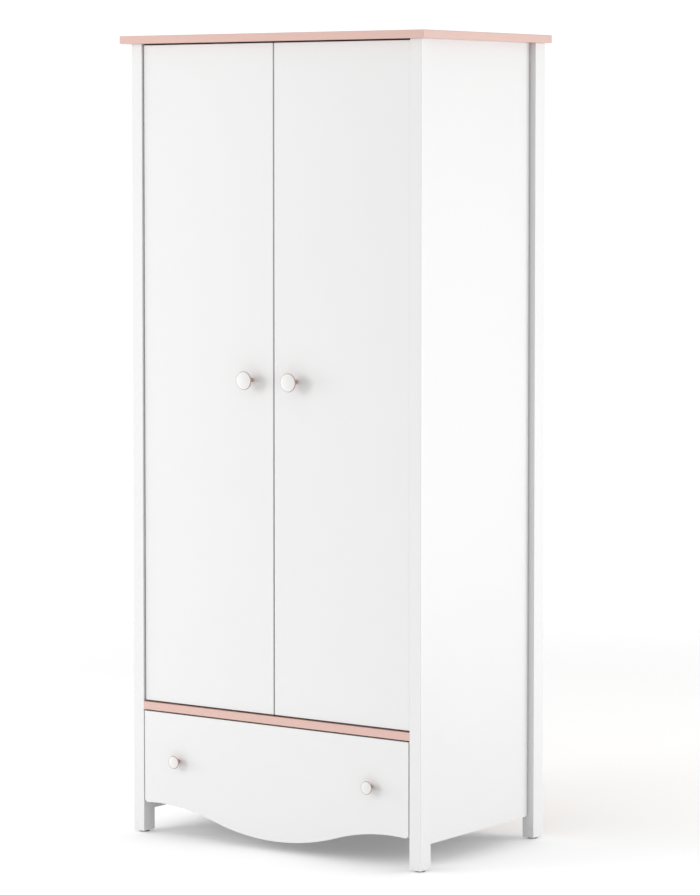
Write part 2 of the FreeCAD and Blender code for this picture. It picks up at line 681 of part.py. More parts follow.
def drawer_bottom():
    x = DRAWER_BOX_HALF - DRAWER_BOARD + BOTTOM_GROOVE - 0.5
    return block(-x, x, DRAWER_BOX_FRONT, DRAWER_BOX_REAR, BOTTOM_LOW, BOTTOM_LOW + BOTTOM_THICK)


# ---------------------------------------------------------------- every node
def fixed_nodes():
    """The carcass."""
    cams = cam_joints()
    plate_and_arm = [one["solid"] for kind in ("plate", "arm") for one in hinge_screws()[kind]]
    screws = [solid for side in SIDES for solid in at_each_hinge(plate_and_arm, side)]
    for s in SIDES.values():
        screws += [one["solid"] for one in flange_screws(s) + slide_screws(s)["outer"]]
    bores = [bore for joint in cams for bore in joint["bores"]] + wall_holes()
    bores += [glide_nail(x, y) for x, y in glide_places()]
    for side, s in SIDES.items():
        bores += at_each_hinge(bores_of(hinge_screws()["plate"]), side)
        bores += bores_of(flange_screws(s) + slide_screws(s)["outer"])
    nodes = {
        "top_panel": top_panel(bores),
        "front_rail": front_rail(bores),
        "compartment_floor": compartment_floor(bores),
        "hat_shelf": hat_shelf(),
        "rear_top_rail": rear_rail(POST_TOP - REAR_RAIL_TALL, bores),
        "rear_bottom_rail": rear_rail(REAR_RAIL_BOTTOM, bores),
        "back_joint_strip": back_joint_strip(),
        "hanging_rail": hanging_rail(),
        "foot_glides": [foot_glide(x, y) for x, y in glide_places()],
        "shelf_pins": [shelf_pin(s, y) for s in SIDES.values() for y in SHELF_PIN_Y],
        "cam_locks": [joint["cam"] for joint in cams],
        "cam_bolts": [joint["bolt"] for joint in cams],
        "carcass_screws": screws,
    }
    for side, s in SIDES.items():
        nodes[f"front_{side}_post"] = post(s, FRONT, False, bores)
        nodes[f"rear_{side}_post"] = post(s, SIDE_REAR, True, bores)
        nodes[f"{side}_side_panel"] = side_panel(s, bores)
        nodes[f"{side}_back_panel"] = back_panel(s)
        nodes[f"{side}_rail_flange"] = rail_flange(s)
        nodes[f"{side}_hinge_plates"] = at_each_hinge([hinge_plate()], side)
        nodes[f"{side}_slide_outer"] = slide_outer(s)
        for name, z in zip(HINGE_NAMES, hinge_heights()):
            nodes[f"{side}_hinge_arm_{name}"] = for_side(at_hinge(hinge_arm(), z), side)
    return nodes


def door_nodes(side, s):
    """One door with what swings with it."""
    knob = (DOOR_KNOB_RADIUS, DOOR_KNOB_OUT, s * DOOR_KNOB_X, DOOR_FACE, DOOR_KNOB_Z)
    cup_screws = hinge_screws()["cup"]
    through_knob = knob_screw(*knob[1:])
    bores = at_each_hinge(bores_of(cup_screws), side) + [through_knob["bore"]]
    screws = at_each_hinge([one["solid"] for one in cup_screws], side) + [through_knob["solid"]]
    return {
        f"{side}_door": door(side, bores),
        f"{side}_hinge_cups": at_each_hinge([hinge_cup()], side),
        f"{side}_hinge_pins": at_each_hinge([hinge_pin()], side),
        f"{side}_door_knob": knob_body(*knob),
        f"{side}_door_knob_cap": knob_cap(*knob),
        f"{side}_door_screws": screws,
    }


def drawer_nodes():
    """The drawer with its knobs and slides."""
    knobs = {side: (DRAWER_KNOB_RADIUS, DRAWER_KNOB_OUT, s * DRAWER_KNOB_X, FRONT, DRAWER_KNOB_Z)
             for side, s in SIDES.items()}
    screws = [knob_screw(*knob[1:]) for knob in knobs.values()]
    screws += [one for s in SIDES.values() for one in slide_screws(s)["inner"]]
    nodes = {
        "drawer_front": drawer_front(bores_of(screws)),
        "drawer_back": drawer_back(),
        "drawer_bottom": drawer_bottom(),
        "drawer_screws": [one["solid"] for one in screws],
    }
    for side, s in SIDES.items():
        nodes[f"drawer_{side}_side"] = drawer_side(s, bores_of(screws))
        nodes[f"drawer_{side}_knob"] = knob_body(*knobs[side])
        nodes[f"drawer_{side}_knob_cap"] = knob_cap(*knobs[side])
        nodes[f"{side}_slide_middle"] = slide_middle(s)
        nodes[f"{side}_slide_inner"] = slide_inner(s)
    return nodes


def main():
    os.makedirs("parts", exist_ok=True)
    nodes = fixed_nodes()
    for side, s in SIDES.items():
        nodes.update(door_nodes(side, s))
    nodes.update(drawer_nodes())
    for name, made in nodes.items():
        pieces = made if isinstance(made, list) else [made]
        solids = [solid for piece in pieces for solid in piece.Solids]
        if len(solids) != len(pieces) or not all(solid.isValid() and solid.Volume > 0 for solid in solids):
            raise ValueError(f"{name} has {len(solids)} solids for {len(pieces)} pieces, or one isn't sound")
        shape = solids[0] if len(solids) == 1 else Part.makeCompound(solids)
        shape.exportStep(os.path.join("parts", name + ".step"))
    print(f"{len(nodes)} nodes. Hinge pins at x = {PIN_X} and -{PIN_X}, y = {PIN_Y}.")


main()
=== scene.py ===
"""Finishes, ball cages and studio for the two-door wardrobe.

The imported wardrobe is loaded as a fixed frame, in metres: +Z up, the front facing -Y. Each operator
finishes one group of like pieces, or adds the pieces that the frame leaves out, and one makes the studio.
"""

import math

import bmesh
import bpy
from bpy.props import FloatProperty, FloatVectorProperty, PointerProperty
from mathutils import Matrix, Vector


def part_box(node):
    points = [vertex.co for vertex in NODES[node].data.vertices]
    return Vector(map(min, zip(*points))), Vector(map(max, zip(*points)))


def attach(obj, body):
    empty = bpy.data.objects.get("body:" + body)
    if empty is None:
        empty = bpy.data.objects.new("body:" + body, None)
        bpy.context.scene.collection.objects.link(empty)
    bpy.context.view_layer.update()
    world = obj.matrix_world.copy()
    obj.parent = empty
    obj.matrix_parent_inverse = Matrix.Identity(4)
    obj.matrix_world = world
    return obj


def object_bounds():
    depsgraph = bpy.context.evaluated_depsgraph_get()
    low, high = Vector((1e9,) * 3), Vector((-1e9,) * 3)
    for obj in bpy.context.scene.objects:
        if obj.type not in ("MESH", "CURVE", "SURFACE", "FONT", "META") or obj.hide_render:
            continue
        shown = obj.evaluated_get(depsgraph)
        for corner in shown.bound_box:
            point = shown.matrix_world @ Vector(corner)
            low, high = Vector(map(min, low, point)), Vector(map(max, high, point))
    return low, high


bl_info = {
    "name": "Wardrobe Finishes",
    "version": (1, 0, 0),
    "blender": (4, 5, 0),
    "location": "3D View > Sidebar > Wardrobe",
    "description": "Finishes, ball cages and studio for a two-door wardrobe",
    "category": "Object",
}

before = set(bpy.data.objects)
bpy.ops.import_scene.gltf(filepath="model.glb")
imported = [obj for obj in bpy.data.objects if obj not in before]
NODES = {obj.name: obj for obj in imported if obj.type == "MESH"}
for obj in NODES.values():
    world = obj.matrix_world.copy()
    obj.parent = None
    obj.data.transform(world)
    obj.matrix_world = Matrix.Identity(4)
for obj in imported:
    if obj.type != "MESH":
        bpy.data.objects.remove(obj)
FRAME_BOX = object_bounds()
SIDES = ("left", "right")
MM = 0.001


# ---------------------------------------------------------------- sizes and colours that a user would change
def colour(name, description, default):
    """A linear RGB colour as a property."""
    return FloatVectorProperty(name=name, description=description, subtype="COLOR", size=3,
                               min=0.0, max=1.0, default=default)


def length(name, description, default):
    """A length in metres as a property."""
    return FloatProperty(name=name, description=description, unit="LENGTH", precision=5,
                         min=0.0, default=default)


def spot(name, description, default):
    """A place in metres as a property."""
    return FloatVectorProperty(name=name, description=description, unit="LENGTH", size=3, default=default)


def angle(name, description, degrees):
    """An angle as a property."""
    return FloatProperty(name=name, description=description, subtype="ANGLE", default=math.radians(degrees))


def amount(name, description, default):
    """A plain number from 0 up as a property."""
    return FloatProperty(name=name, description=description, min=0.0, default=default)


class WardrobeColours(bpy.types.PropertyGroup):
    """Colours of the paints, papers, plastics and metals."""

    white: colour("White lacquer", "Posts, sides, doors and drawer front", (0.70, 0.70, 0.70))
    pink: colour("Pink lacquer", "Top and front rail", (0.618, 0.411, 0.362))
    knob: colour("Knob pink", "Bodies of the knobs", (0.44, 0.295, 0.26))
    cap: colour("Cap white", "Domed caps of the knobs", (0.69, 0.69, 0.685))
    foil: colour("White foil", "Shelf, floor, rear rails and drawer box", (0.69, 0.69, 0.68))
    paper: colour("Printed face", "Faces of the thin boards", (0.66, 0.655, 0.64))
    fibre: colour("Raw hardboard", "Rear face of the back", (0.33, 0.205, 0.115))
    # Painted shade: a dark grey on every face that looks down, which darkens the shadow under the wardrobe
    lining: colour("Underside shade grey", "Underside of the drawer bottom", (0.20, 0.20, 0.20))
    strip: colour("Strip plastic", "Joint strip of the back", (0.70, 0.70, 0.69))
    glide: colour("Glide plastic", "Glides under the feet", (0.035, 0.035, 0.036))
    nickel: colour("Nickel plate", "Hinges and rail flanges", (0.66, 0.64, 0.61))
    zinc: colour("Zinc plate", "Slides, screws, cams and pins", (0.58, 0.60, 0.63))
    chrome: colour("Chrome", "Hanging rail", (0.74, 0.75, 0.76))


class WardrobeSizes(bpy.types.PropertyGroup):
    """Sizes of surface detail and of the ball cages."""

    peel: length("Orange peel", "Width of one ripple in the lacquer", 1.6 * MM)
    peel_depth: length("Peel depth", "Height of the ripples in the lacquer", 0.012 * MM)
    touch_reach: length("Touch reach", "How far from a knob the hand-polished patch reaches", 95 * MM)
    scuff_height: length("Scuff height", "How far up the feet are scuffed", 45 * MM)
    slide_sheet: length("Slide sheet", "Thickness of the slides' steel", 1.2 * MM)
    ball: length("Ball", "Diameter of the slides' balls", 1.9 * MM)
    ball_pitch: length("Ball pitch", "Distance between two balls", 9 * MM)
    cage_long: length("Cage length", "Length of one row of balls", 198 * MM)


class WardrobeStudio(bpy.types.PropertyGroup):
    """Camera, lights and floor."""

    camera_place: spot("Camera place", "Where the camera stands", (5.001, -6.890, 1.7016))
    heading: angle("Heading", "Camera's turn to the left of +Y", 35.706)
    tilt: angle("Tilt", "How far the camera looks down", 3.24)
    lens: amount("Lens", "Focal length in millimetres", 140.557)
    shift: FloatProperty(name="Shift", description="Vertical lens shift", default=-0.12)
    zenith: amount("Zenith", "Light from straight above", 0.73)
    horizon: amount("Horizon", "Light from all round, level", 0.84)
    key_place: spot("Key place", "Middle of the softbox on the left", (-5.2, -2.0, 1.0))
    key: amount("Key", "Power of the softbox on the left, in watts", 95.0)
    fill_place: spot("Fill place", "Middle of the softbox in front", (-3.2, -4.6, 2.1))
    fill: amount("Fill", "Power of the softbox in front, in watts", 103.0)
    side_place: spot("Side place", "Middle of the softbox on the right", (3.7, 2.4, 0.8))
    side: amount("Side", "Power of the softbox on the right, in watts", 95.0)
    softbox_wide: length("Softbox width", "Width of each softbox, and height of the first two", 2.4)
    side_tall: length("Side height", "Height of the softbox on the right", 2.8)
    glow: amount("Glow", "Light that the floor gives off", 0.167)
    floor_reach: length("Floor reach", "Where the floor starts to fade out", 2.6)
    floor_end: length("Floor end", "Where the floor has faded out", 4.6)


def user(kind):
    """The scene's settings of one kind."""
    return getattr(bpy.context.scene, "wardrobe_" + kind)


# ---------------------------------------------------------------- shader maths
class Wire:
    """A value on its way through a graph's nodes. Arithmetic on it adds Math nodes."""

    def __init__(self, graph, socket):
        self.graph = graph
        self.socket = socket

    def maths(self, operation, *values):
        """A Math node on the values given."""
        return self.graph.node("ShaderNodeMath", {"operation": operation}, dict(enumerate(values)))

    def __add__(self, other):
        return self.maths("ADD", self, other)

    def __sub__(self, other):
        return self.maths("SUBTRACT", self, other)

    def __rsub__(self, other):
        return self.maths("SUBTRACT", other, self)

    def __mul__(self, other):
        return self.maths("MULTIPLY", self, other)

    __radd__ = __add__
    __rmul__ = __mul__

    def ramp(self, low, high):
        """0 below low, 1 above high and a smooth rise between them. high may be the lower of the two."""
        return self.graph.node("ShaderNodeMapRange", {"interpolation_type": "SMOOTHSTEP"},
                               {"Value": self, "From Min": low, "From Max": high})


class Graph:
    """The nodes of a material or of the sky, in the making."""

    def __init__(self, tree):
        self.tree = tree

    def node(self, kind, settings=(), inputs=(), output=0):
        """Adds a node, sets it up, feeds its sockets, and gives the wire that leaves it, if one does."""
        made = self.tree.nodes.new(kind)
        for name, value in dict(settings).items():
            setattr(made, name, value)
        for name, value in dict(inputs).items():
            self.feed(made.inputs[name], value)
        return Wire(self, made.outputs[output]) if made.outputs else None

    def feed(self, socket, value):
        """Links a wire to a socket, or sets the socket to a plain value."""
        if isinstance(value, Wire):
            self.tree.links.new(value.socket, socket)
        elif socket.type == "RGBA" and len(value) == 3:
            socket.default_value = (*value, 1.0)
        else:
            socket.default_value = value


class Finish(Graph):
    """A material in the making. Every texture is laid in the object's own space, in metres."""

    def __init__(self, name):
        self.material = bpy.data.materials.new(name)
        self.material.use_nodes = True
        super().__init__(self.material.node_tree)
        self.shader = self.tree.nodes["Principled BSDF"]
        self.place = self.node("ShaderNodeTexCoord", output="Object")
        self.normal = None

    def stretched(self, x, y, z):
        """The place, scaled by a factor along each axis."""
        return self.node("ShaderNodeVectorMath", {"operation": "MULTIPLY"}, {0: self.place, 1: (x, y, z)})

    def noise(self, grain, detail=2.0, rough=0.5, place=None):
        """Noise from 0 to 1, with lumps about one grain wide, in metres."""
        inputs = {"Vector": place or self.place, "Scale": 1.0 / grain, "Detail": detail, "Roughness": rough}
        return self.node("ShaderNodeTexNoise", {}, inputs)

    def cells(self, grain, output="Distance"):
        """Voronoi cells about one grain wide, in metres."""
        return self.node("ShaderNodeTexVoronoi", {}, {"Vector": self.place, "Scale": 1.0 / grain}, output)

    def axis(self, letter, source="Object"):
        """One coordinate of the place, or of the surface's normal."""
        vector = self.node("ShaderNodeTexCoord", output=source)
        return self.node("ShaderNodeSeparateXYZ", {}, {"Vector": vector}, letter)

    def distance(self, point):
        """Distance from a point."""
        ends = {0: self.place, 1: point}
        return self.node("ShaderNodeVectorMath", {"operation": "DISTANCE"}, ends, "Value")

    def blend(self, factor, a, b):
        """Colour a where the factor is 0, and b where it is 1."""
        return self.node("ShaderNodeMix", {"data_type": "RGBA"}, {0: factor, 6: a, 7: b}, 2)

    def bump(self, height, depth, strength=1.0):
        """Raises the surface by height times depth, on top of the bumps before it."""
        inputs = {"Height": height, "Distance": depth, "Strength": strength}
        if self.normal:
            inputs["Normal"] = self.normal
        self.normal = self.node("ShaderNodeBump", {}, inputs, "Normal")

    def done(self, **sockets):
        """Feeds the shader's sockets, and gives the material. Underscores stand for spaces."""
        if self.normal:
            sockets["Normal"] = self.normal
        for name, value in sockets.items():
            self.feed(self.shader.inputs[name.replace("_", " ")], value)
        return self.material


def shade(rgb, factor):
    """A colour times a factor, kept within 0 to 1."""
    return tuple(min(1.0, max(0.0, channel * factor)) for channel in rgb)


def tint(rgb, red, green, blue):
    """A colour with each channel scaled."""
    return tuple(min(1.0, channel * by) for channel, by in zip(rgb, (red, green, blue)))


def apply_finish(material, names):
    """Gives frame nodes a material."""
    for name in names:
        slots = NODES[name].data.materials
        slots.clear()
        slots.append(material)


def middle(name):
    """Middle of a frame node's box."""
    low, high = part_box(name)
    return (low + high) / 2


def both(*patterns):
    """Node names for the left and the right side."""
    return [pattern.format(side) for pattern in patterns for side in SIDES]


# ---------------------------------------------------------------- finishes
MEAN = 0.5  # of a noise, so that noise - MEAN goes as far down as up


def along(axis, factor):
    """Factors for Finish.stretched that draw a texture out along one axis."""
    return [factor if letter == axis else 1.0 for letter in "XYZ"]


def lacquer(name, rgb, touched_at=()):
    """Satin lacquer on fibreboard: ripples, cloudiness, polished patches by the knobs and scuffed feet."""
    sizes = user("sizes")
    satin = 0.34
    foot = 4 * MM
    polished_reach = 20 * MM
    finish = Finish(name)
    clouds = finish.noise(350 * MM, detail=3.0)
    stipple = finish.noise(0.5 * sizes.peel, detail=1.0)
    near_floor = finish.axis("Z").ramp(sizes.scuff_height, foot)
    scuffs = near_floor * finish.noise(6 * MM, detail=4.0, rough=0.65).ramp(0.50, 0.72)
    rough = satin + 0.06 * (clouds - MEAN) + 0.03 * (stipple - MEAN) + 0.18 * scuffs
    for point in touched_at:
        streaks = finish.noise(20 * MM, detail=3.0, place=finish.stretched(*along("Z", 0.6)))
        touched = finish.distance(point).ramp(sizes.touch_reach, polished_reach)
        rough = rough - 0.05 * touched * streaks.ramp(0.35, 0.75)
    tone = finish.blend(clouds, shade(rgb, 0.985), shade(rgb, 1.01))
    tone = finish.blend(0.35 * scuffs, tone, shade(rgb, 0.55))
    finish.bump(finish.noise(sizes.peel, detail=1.5), sizes.peel_depth)
    finish.bump(finish.noise(90 * MM, detail=0.0), 0.05 * MM, strength=0.6)
    return finish.done(Base_Color=tone, Roughness=rough, Coat_Weight=0.12, Coat_Roughness=0.22)


def moulded(name, rgb, gloss, coat, swirl=0.5):
    """Moulded plastic of the roughness given by gloss, with a faint swirl and hairline scratches."""
    finish = Finish(name)
    clouds = finish.noise(9 * MM, detail=2.5)
    hairs = finish.noise(1.1 * MM, detail=2.0, place=finish.stretched(*along("Z", 0.12)))
    tone = finish.blend(clouds, shade(rgb, 1 - 0.05 * swirl), shade(rgb, 1 + 0.04 * swirl))
    finish.bump(hairs, 0.004 * MM)
    finish.bump(finish.noise(0.7 * MM, detail=1.0), 0.003 * MM)
    rough = gloss + 0.10 * hairs.ramp(0.55, 0.80) + 0.05 * (clouds - MEAN)
    return finish.done(Base_Color=tone, Roughness=rough, Coat_Weight=coat, Coat_Roughness=0.06)


def foil():
    """White foil on particle board, with the fine pearl grain that it is pressed with."""
    rgb = user("colours").foil
    pearl_mean = 0.4
    finish = Finish("white_foil")
    pearl = finish.cells(1.1 * MM)
    clouds = finish.noise(220 * MM)
    tone = finish.blend(clouds, shade(rgb, 0.975), shade(rgb, 1.015))
    tone = finish.blend(0.05 * pearl.ramp(0.2, 0.7), tone, shade(rgb, 0.8))
    finish.bump(pearl, 0.02 * MM)
    rough = 0.42 + 0.10 * (pearl - pearl_mean) + 0.05 * (clouds - MEAN)
    return finish.done(Base_Color=tone, Roughness=rough)


def hardboard():
    """Thin fibreboard: white print inside, raw brown fibre to the rear, and a dark grey on the faces that
    look down, which is painted shade that darkens the shadow under the wardrobe.
    """
    colours = user("colours")
    finish = Finish("hardboard")
    outward = finish.axis("Y", "Normal").ramp(0.3, 0.6)
    under = finish.axis("Z", "Normal").ramp(-0.3, -0.6)
    fibres = finish.noise(2.2 * MM, detail=5.0, rough=0.7, place=finish.stretched(*along("Z", 0.35)))
    clumps = finish.noise(30 * MM, detail=3.0)
    weave = finish.noise(0.9 * MM, detail=1.0)
    brown = finish.blend(fibres.ramp(0.32, 0.70), shade(colours.fibre, 0.70), shade(colours.fibre, 1.35))
    brown = finish.blend(0.35 * clumps, brown, tint(colours.fibre, 1.15, 1.05, 0.9))
    white = finish.blend(weave, shade(colours.paper, 0.97), shade(colours.paper, 1.02))
    # Painted shade: faces that look down get the dark underside grey, which deepens the shadow under the
    # wardrobe
    grey = finish.blend(clumps, shade(colours.lining, 0.9), shade(colours.lining, 1.1))
    paper = finish.blend(under, white, grey)
    finish.bump(fibres, 0.10 * MM, strength=0.5)
    rough = 0.46 + outward * (0.32 + 0.12 * (fibres - MEAN)) + 0.04 * (weave - MEAN)
    return finish.done(Base_Color=finish.blend(outward, paper, brown), Roughness=rough)


def extruded():
    """Plastic strip with the lines that the die leaves along it."""
    rgb = user("colours").strip
    finish = Finish("extruded_plastic")
    lines = finish.noise(1.2 * MM, place=finish.stretched(*along("Z", 0.01)))
    tone = finish.blend(finish.noise(80 * MM), shade(rgb, 0.97), shade(rgb, 1.03))
    finish.bump(lines, 0.02 * MM)
    return finish.done(Base_Color=tone, Roughness=0.40 + 0.14 * (lines - MEAN))


def plated(name, rgb, gloss, line_factors=(1.0, 1.0, 1.0), spangle=0.0):
    """Plated steel of the roughness given by gloss: drawn lines, cloudy plating and crystal spangles."""
    finish = Finish(name)
    lines = finish.noise(0.8 * MM, detail=3.0, place=finish.stretched(*line_factors))
    clouds = finish.noise(20 * MM, detail=3.0)
    cells = finish.cells(4 * MM, "Color")
    cell_tone = finish.node("ShaderNodeSeparateColor", {}, {"Color": cells}, "Red")
    tone = finish.blend(clouds, tint(rgb, 0.90, 0.91, 0.94), tint(rgb, 1.06, 1.04, 1.0))
    tone = finish.blend(spangle * cell_tone, tone, shade(rgb, 0.78))
    finish.bump(lines, 0.010 * MM)
    rough = gloss + 0.14 * (lines - MEAN) + 0.10 * (clouds - MEAN) + 0.12 * spangle * (cell_tone - MEAN)
    return finish.done(Base_Color=tone, Roughness=rough, Metallic=1.0)


def chromed():
    """Chromed tube with smudges, and rubbed lines where hangers slide along its top."""
    rgb = user("colours").chrome
    finish = Finish("chromed_tube")
    smudges = finish.noise(30 * MM, detail=4.0, rough=0.6).ramp(0.45, 0.75)
    rubbed = finish.noise(0.9 * MM, place=finish.stretched(*along("X", 0.02)))
    on_top = finish.axis("Z", "Normal").ramp(0.2, 0.9)
    tone = finish.blend(0.4 * smudges, rgb, tint(rgb, 0.93, 0.92, 0.90))
    finish.bump(rubbed, 0.004 * MM)
    rough = 0.07 + 0.12 * smudges + 0.16 * on_top * rubbed.ramp(0.4, 0.7)
    return finish.done(Base_Color=tone, Roughness=rough, Metallic=1.0)


# ---------------------------------------------------------------- mesh making
BALL_SEGMENTS = 14
BALL_RINGS = 9
RAIL_OFFSET = 1.45  # cage rail from the balls' centres, in ball radii
CAGE_SHEET = 0.5  # thickness of the cage, in ball radii
BRIDGE_WIDE = 2.4  # bridge across the cage, in ball radii
BALL_POCKET = 2.5  # what a ball takes out of the pitch, in ball radii
CAGE_END_ROOM = 6 * MM


def piece(name, mesh_maker, material, body):
    """Adds an object made by mesh_maker(bmesh), riding on a body."""
    mesh = bpy.data.meshes.new(name)
    build = bmesh.new()
    mesh_maker(build)
    bmesh.ops.recalc_face_normals(build, faces=build.faces)
    build.to_mesh(mesh)
    build.free()
    mesh.materials.append(material)
    made = bpy.data.objects.new(name, mesh)
    bpy.context.scene.collection.objects.link(made)
    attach(made, body)


def add_ball(build, centre, radius):
    """A smooth steel ball."""
    made = bmesh.ops.create_uvsphere(build, u_segments=BALL_SEGMENTS, v_segments=BALL_RINGS, radius=radius,
                                     matrix=Matrix.Translation(centre))
    for vertex in made["verts"]:
        for face in vertex.link_faces:
            face.smooth = True


def add_block(build, centre, size):
    """A small block with bevelled edges."""
    place = Matrix.Translation(centre) @ Matrix.Diagonal((*size, 1.0))
    made = bmesh.ops.create_cube(build, size=1.0, matrix=place)
    edges = {edge for vertex in made["verts"] for edge in vertex.link_edges}
    bmesh.ops.bevel(build, geom=list(edges), offset=0.2 * min(size), segments=2, affect="EDGES", profile=0.5)


def ball_row(build, x, z, y_from, sizes):
    """A row of balls along Y, held by a cage: two rails and a bridge between neighbours."""
    radius = sizes.ball / 2
    sheet = CAGE_SHEET * radius
    count = int(sizes.cage_long / sizes.ball_pitch)
    for i in range(count):
        y = y_from + (i + 0.5) * sizes.ball_pitch
        add_ball(build, Vector((x, y, z)), radius)
        if i:
            bridge = Vector((x, y - sizes.ball_pitch / 2, z))
            add_block(build, bridge, (BRIDGE_WIDE * radius, sizes.ball_pitch - BALL_POCKET * radius, sheet))
    for way in (-1, 1):
        rail = Vector((x + way * RAIL_OFFSET * radius, y_from + count * sizes.ball_pitch / 2, z))
        add_block(build, rail, (sheet, count * sizes.ball_pitch, sheet))


def ball_cages(build, side, sizes):
    """Four rows on a runner: the outer pair trails in the outer member, the inner pair leads in the inner."""
    outer_low, outer_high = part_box(f"{side}_slide_outer")
    runner_low, runner_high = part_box(f"{side}_slide_middle")
    inner_low, inner_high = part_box(f"{side}_slide_inner")
    rear_start = runner_high.y - CAGE_END_ROOM - sizes.cage_long
    front_start = runner_low.y + CAGE_END_ROOM
    middle_z = (outer_low.z + outer_high.z) / 2
    outer_gap = (outer_high.z - sizes.slide_sheet + runner_high.z) / 2 - middle_z
    inner_gap = (runner_high.z - sizes.slide_sheet + inner_high.z) / 2 - middle_z
    outer_x = (max(outer_low.x, runner_low.x) + min(outer_high.x, runner_high.x)) / 2
    inner_x = (max(inner_low.x, runner_low.x) + min(inner_high.x, runner_high.x)) / 2
    for way in (-1, 1):
        ball_row(build, outer_x, middle_z + way * outer_gap, rear_start, sizes)
        ball_row(build, inner_x, middle_z + way * inner_gap, front_start, sizes)


# ---------------------------------------------------------------- operators, one for each group of pieces
class WARDROBE_OT_white_boards(bpy.types.Operator):
    """Lacquer the posts, the sides, the doors and the drawer front white"""

    bl_idname = "wardrobe.white_boards"
    bl_label = "White boards"

    def execute(self, context):
        white = user("colours").white
        apply_finish(lacquer("white_lacquer", white), both("front_{}_post", "rear_{}_post", "{}_side_panel"))
        for side in SIDES:
            door = lacquer(f"white_lacquer_{side}_door", white, [middle(f"{side}_door_knob")])
            apply_finish(door, [f"{side}_door"])
        drawer = lacquer("white_lacquer_drawer", white, [middle(f"drawer_{side}_knob") for side in SIDES])
        apply_finish(drawer, ["drawer_front"])
        return {"FINISHED"}


class WARDROBE_OT_pink_boards(bpy.types.Operator):
    """Lacquer the top and the front rail pink"""

    bl_idname = "wardrobe.pink_boards"
    bl_label = "Pink boards"

    def execute(self, context):
        apply_finish(lacquer("pink_lacquer", user("colours").pink), ["top_panel", "front_rail"])
        return {"FINISHED"}


class WARDROBE_OT_knobs(bpy.types.Operator):
    """Finish the knobs and their caps"""

    bl_idname = "wardrobe.knobs"
    bl_label = "Knobs"

    def execute(self, context):
        colours = user("colours")
        body = moulded("knob_pink", colours.knob, gloss=0.26, coat=0.35)
        cap = moulded("knob_cap_white", colours.cap, gloss=0.45, coat=0.12, swirl=0.3)
        apply_finish(body, both("{}_door_knob", "drawer_{}_knob"))
        apply_finish(cap, both("{}_door_knob_cap", "drawer_{}_knob_cap"))
        return {"FINISHED"}


class WARDROBE_OT_inside_boards(bpy.types.Operator):
    """Finish the floor, the shelf, the rear rails, the drawer box and the thin back"""

    bl_idname = "wardrobe.inside_boards"
    bl_label = "Inside boards"

    def execute(self, context):
        boards = ["compartment_floor", "hat_shelf", "rear_top_rail", "rear_bottom_rail", "drawer_back"]
        apply_finish(foil(), boards + both("drawer_{}_side"))
        apply_finish(hardboard(), both("{}_back_panel") + ["drawer_bottom"])
        apply_finish(extruded(), ["back_joint_strip"])
        return {"FINISHED"}


class WARDROBE_OT_hinges(bpy.types.Operator):
    """Plate the hinges and the hanging rail's flanges"""

    bl_idname = "wardrobe.hinges"
    bl_label = "Hinges"

    def execute(self, context):
        nickel = plated("nickel_plate", user("colours").nickel, gloss=0.24, line_factors=along("Y", 0.08))
        arms = both("{}_hinge_arm_bottom", "{}_hinge_arm_middle", "{}_hinge_arm_top")
        apply_finish(nickel, arms + both("{}_hinge_plates", "{}_hinge_cups", "{}_rail_flange"))
        return {"FINISHED"}


class WARDROBE_OT_fasteners(bpy.types.Operator):
    """Plate the screws, cams, bolts and pins"""

    bl_idname = "wardrobe.fasteners"
    bl_label = "Fasteners"

    def execute(self, context):
        zinc = plated("zinc_plate", user("colours").zinc, gloss=0.34, spangle=0.15)
        loose = ["cam_locks", "cam_bolts", "carcass_screws", "drawer_screws", "shelf_pins"]
        apply_finish(zinc, loose + both("{}_door_screws", "{}_hinge_pins"))
        return {"FINISHED"}


class WARDROBE_OT_slides(bpy.types.Operator):
    """Plate the drawer slides, and add their balls and cages"""

    bl_idname = "wardrobe.slides"
    bl_label = "Drawer slides"

    def execute(self, context):
        zinc = user("colours").zinc
        sizes = user("sizes")
        rolled = plated("rolled_zinc", zinc, gloss=0.30, line_factors=along("Y", 0.02), spangle=0.5)
        apply_finish(rolled, both("{}_slide_outer", "{}_slide_middle", "{}_slide_inner"))
        polished = plated("ball_steel", shade(zinc, 1.15), gloss=0.14)
        for side in SIDES:
            piece(f"{side}_ball_cages", lambda build: ball_cages(build, side, sizes), polished,
                  f"{side}_slide_runner")
        return {"FINISHED"}


class WARDROBE_OT_hanging_rail(bpy.types.Operator):
    """Chrome the hanging rail"""

    bl_idname = "wardrobe.hanging_rail"
    bl_label = "Hanging rail"

    def execute(self, context):
        apply_finish(chromed(), ["hanging_rail"])
        return {"FINISHED"}


class WARDROBE_OT_feet(bpy.types.Operator):
    """Finish the glides under the feet"""

    bl_idname = "wardrobe.feet"
    bl_label = "Feet"

    def execute(self, context):
        black = moulded("glide_plastic", user("colours").glide, gloss=0.55, coat=0.0, swirl=2.0)
        apply_finish(black, ["foot_glides"])
        return {"FINISHED"}


# ---------------------------------------------------------------- studio
SENSOR_WIDE = 36.0  # millimetres, as the lens is
FAR_CLIP = 200.0
WHITE = (1.0, 1.0, 1.0)
SEEN_WHITE = 1.05  # strength of the background that the camera sees
FLOOR_DROP = 0.2 * MM  # floor below the glides, so that the two faces aren't in one plane
FLOOR_SIDES = 96
FLOOR_TONES = (0.90, 0.91)


def softbox(name, place, aim, width, height, power, mirrored=True):
    """A rectangular area light, aimed at a point. One that isn't mirrored leaves no highlight in gloss."""
    light = bpy.data.lights.new(name, "AREA")
    light.shape = "RECTANGLE"
    light.size = width
    light.size_y = height
    light.energy = power
    lamp = bpy.data.objects.new(name, light)
    lamp.location = place
    lamp.visible_camera = False
    lamp.visible_glossy = mirrored
    lamp.rotation_euler = (Vector(aim) - Vector(place)).to_track_quat("-Z", "Y").to_euler()
    bpy.context.scene.collection.objects.link(lamp)


